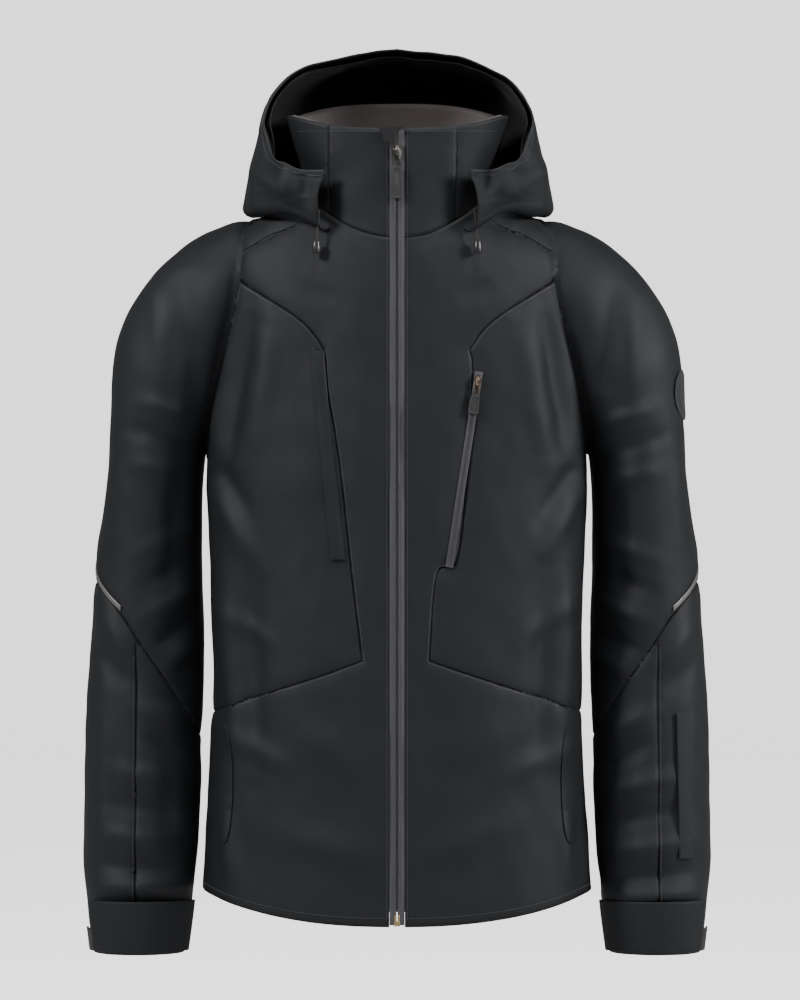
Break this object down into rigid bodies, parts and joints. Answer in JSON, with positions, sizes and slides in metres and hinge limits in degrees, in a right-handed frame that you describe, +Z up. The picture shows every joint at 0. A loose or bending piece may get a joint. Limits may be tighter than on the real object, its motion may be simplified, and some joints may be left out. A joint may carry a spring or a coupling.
{
  "type": "ski jacket",
  "caption": "Zipped ski jacket with a raised collar, a loose hood, raglan sleeves, a zipped chest pocket and strapped cuffs.",
  "frame": {"origin": "the hanger loop at the centre of the back neck, from which the jacket hangs", "axes": "+Z up, the zipped front faces -Y, the wearer's left sleeve is at +X"},
  "size_m": [0.6404, 0.2829, 0.93],
  "materials": {
    "shell_fabric": "matt dark navy-black woven softshell",
    "lining_fabric": "smooth grey nylon",
    "collar_satin": "taupe brushed tricot",
    "zip_tape": "grey woven zip tape",
    "zip_coil": "grey nylon coil",
    "pull_rubber": "matt dark grey moulded rubber",
    "slider_metal": "dark enamelled zinc",
    "bronze_slider": "dark bronze lacquered zinc",
    "zip_box_metal": "worn brass",
    "reflective_tape": "grey reflective transfer tape",
    "loop_pile": "charcoal loop pile",
    "cord_braid": "black braided elastic",
    "cord_end_plastic": "black moulded plastic",
    "badge_rubber": "dark moulded rubber with a plain ring",
    "binding_tape": "black herringbone tape"
  },
  "bodies": {
    "root": {"back_panel": "shell_fabric", "body_lining": "lining_fabric", "centre_front_left": "shell_fabric", "centre_front_right": "shell_fabric", "chest_pocket_bag": "lining_fabric", "chest_welt_right": "shell_fabric", "collar_back": "shell_fabric", "collar_front_left": "shell_fabric", "collar_front_right": "shell_fabric", "collar_lining": "collar_satin", "hand_pocket_welt_left": "shell_fabric", "hand_pocket_welt_right": "shell_fabric", "hanger_loop": "binding_tape", "pocket_zip_tape": "zip_tape", "reflective_stripe_left": "reflective_tape", "reflective_stripe_right": "reflective_tape", "shoulder_yoke_left": "shell_fabric", "shoulder_yoke_right": "shell_fabric", "side_front_left": "shell_fabric", "side_front_right": "shell_fabric", "sleeve_badge": "badge_rubber", "sleeve_lining_upper_left": "lining_fabric", "sleeve_lining_upper_right": "lining_fabric", "sleeve_upper_left": "shell_fabric", "sleeve_upper_right": "shell_fabric", "wind_flap": "shell_fabric", "zip_box": "zip_box_metal", "zip_chain_left": "zip_coil", "zip_chain_right": "zip_coil", "zip_garage": "binding_tape", "zip_pin": "zip_box_metal", "zip_tape_left": "zip_tape", "zip_tape_right": "zip_tape"},
    "main_slider": {"main_slider": "slider_metal"},
    "main_pull": {"main_pull_link": "slider_metal", "main_pull_tab": "pull_rubber"},
    "pocket_slider": {"pocket_slider": "bronze_slider"},
    "pocket_pull": {"pocket_pull_link": "slider_metal", "pocket_pull_tab": "pull_rubber"},
    "forearm_left": {"cuff_left": "shell_fabric", "forearm_inner_left": "shell_fabric", "forearm_outer_left": "shell_fabric", "loop_patch_left": "loop_pile", "sleeve_lining_lower_left": "lining_fabric", "sleeve_pocket_welt": "shell_fabric"},
    "forearm_right": {"cuff_right": "shell_fabric", "forearm_inner_right": "shell_fabric", "forearm_outer_right": "shell_fabric", "loop_patch_right": "loop_pile", "sleeve_lining_lower_right": "lining_fabric"},
    "cuff_tab_left": {"cuff_tab_left": "shell_fabric"},
    "cuff_tab_right": {"cuff_tab_right": "shell_fabric"},
    "hood": {"hood_shell": "shell_fabric", "hood_lining": "lining_fabric", "hood_cord_left": "cord_braid", "hood_cord_right": "cord_braid", "cord_end_left": "cord_end_plastic", "cord_end_right": "cord_end_plastic"}
  },
  "joints": [
    {"name": "main_zip_slide", "type": "slide", "parent": "root", "child": "main_slider", "axis": [0, -0.0585, -0.9983], "range_m": [0, 0.748]},
    {"name": "main_pull_swing", "type": "hinge", "parent": "main_slider", "child": "main_pull", "pos_m": [0, -0.15103, 0.02037], "axis": [-1, 0, 0], "range_deg": [0, 120]},
    {"name": "pocket_zip_slide", "type": "slide", "parent": "root", "child": "pocket_slider", "axis": [-0.1514, -0.0782, -0.9854], "range_m": [0, 0.1817]},
    {"name": "pocket_pull_swing", "type": "hinge", "parent": "pocket_slider", "child": "pocket_pull", "pos_m": [0.08107, -0.15704, -0.21148], "axis": [-0.9884, 0, 0.1519], "range_deg": [0, 120]},
    {"name": "elbow_left_bend", "type": "hinge", "parent": "root", "child": "forearm_left", "pos_m": [0.264, -0.108, -0.474], "axis": [-0.5768, 0, -0.8169], "range_deg": [0, 25]},
    {"name": "elbow_right_bend", "type": "hinge", "parent": "root", "child": "forearm_right", "pos_m": [-0.264, -0.108, -0.474], "axis": [-0.5768, 0, 0.8169], "range_deg": [0, 25]},
    {"name": "cuff_tab_left_peel", "type": "hinge", "parent": "forearm_left", "child": "cuff_tab_left", "pos_m": [0.21158, -0.07825, -0.76399], "axis": [0.1263, -0.0318, -0.9915], "range_deg": [0, 75]},
    {"name": "cuff_tab_right_peel", "type": "hinge", "parent": "forearm_right", "child": "cuff_tab_right", "pos_m": [-0.21158, -0.07825, -0.76399], "axis": [0.1263, 0.0318, 0.9915], "range_deg": [0, 75]},
    {"name": "hood_lift", "type": "hinge", "parent": "root", "child": "hood", "pos_m": [0, -0.149, -0.08], "axis": [1, 0, 0], "range_deg": [0, 15]}
  ]
}
